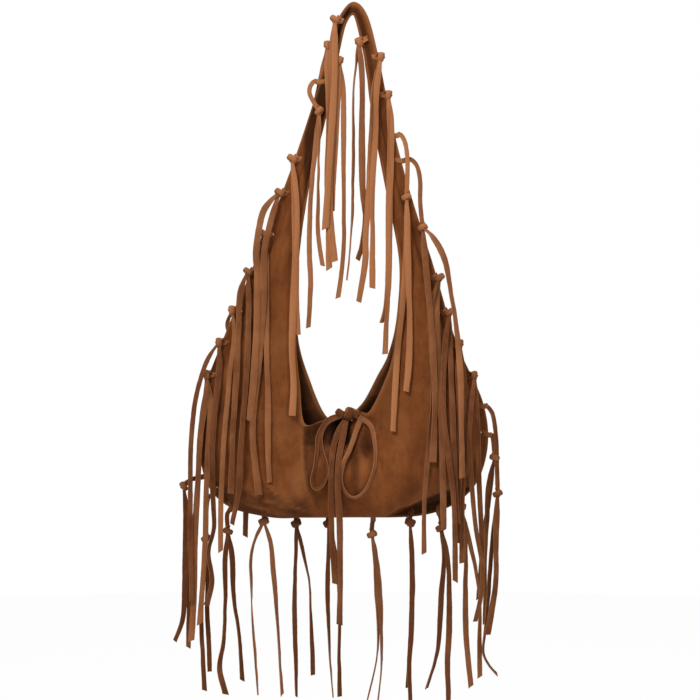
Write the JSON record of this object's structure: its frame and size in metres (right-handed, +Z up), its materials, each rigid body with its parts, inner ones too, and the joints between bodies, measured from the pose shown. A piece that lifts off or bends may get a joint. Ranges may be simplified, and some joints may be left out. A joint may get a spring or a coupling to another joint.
{
  "type": "fringed suede shoulder bag",
  "caption": "Slouchy crescent shoulder bag in brown suede, hanging by its own strap, with knotted lace fringe along the rim and a lace bow closing the mouth.",
  "frame": {"origin": "underside of the strap's crest, where a peg or a shoulder carries the bag", "axes": "+X to the right in the front view, +Y to the back of the bag, +Z up"},
  "size_m": [0.4156, 0.1101, 0.874],
  "materials": {
    "suede": "napped suede",
    "lace_suede": "napped suede with cut edges"
  },
  "bodies": {
    "root": {"front_panel": "suede", "back_panel": "suede", "lace_left_1": "lace_suede", "lace_left_2": "lace_suede", "lace_left_3": "lace_suede", "lace_left_4": "lace_suede", "lace_left_5": "lace_suede", "lace_left_6": "lace_suede", "lace_left_7": "lace_suede", "lace_left_8": "lace_suede", "lace_left_9": "lace_suede", "lace_left_10": "lace_suede", "lace_left_11": "lace_suede", "lace_left_12": "lace_suede", "lace_left_13": "lace_suede", "lace_bottom_1": "lace_suede", "lace_bottom_2": "lace_suede", "lace_bottom_3": "lace_suede", "lace_bottom_4": "lace_suede", "lace_bottom_5": "lace_suede", "lace_bottom_6": "lace_suede", "lace_bottom_7": "lace_suede", "lace_bottom_8": "lace_suede", "lace_right_1": "lace_suede", "lace_right_2": "lace_suede", "lace_right_3": "lace_suede", "lace_right_4": "lace_suede", "lace_right_5": "lace_suede", "lace_right_6": "lace_suede", "lace_right_7": "lace_suede", "lace_right_8": "lace_suede", "lace_right_9": "lace_suede", "lace_right_10": "lace_suede", "lace_right_11": "lace_suede", "tie_bow": "lace_suede"}
  },
  "joints": []
}
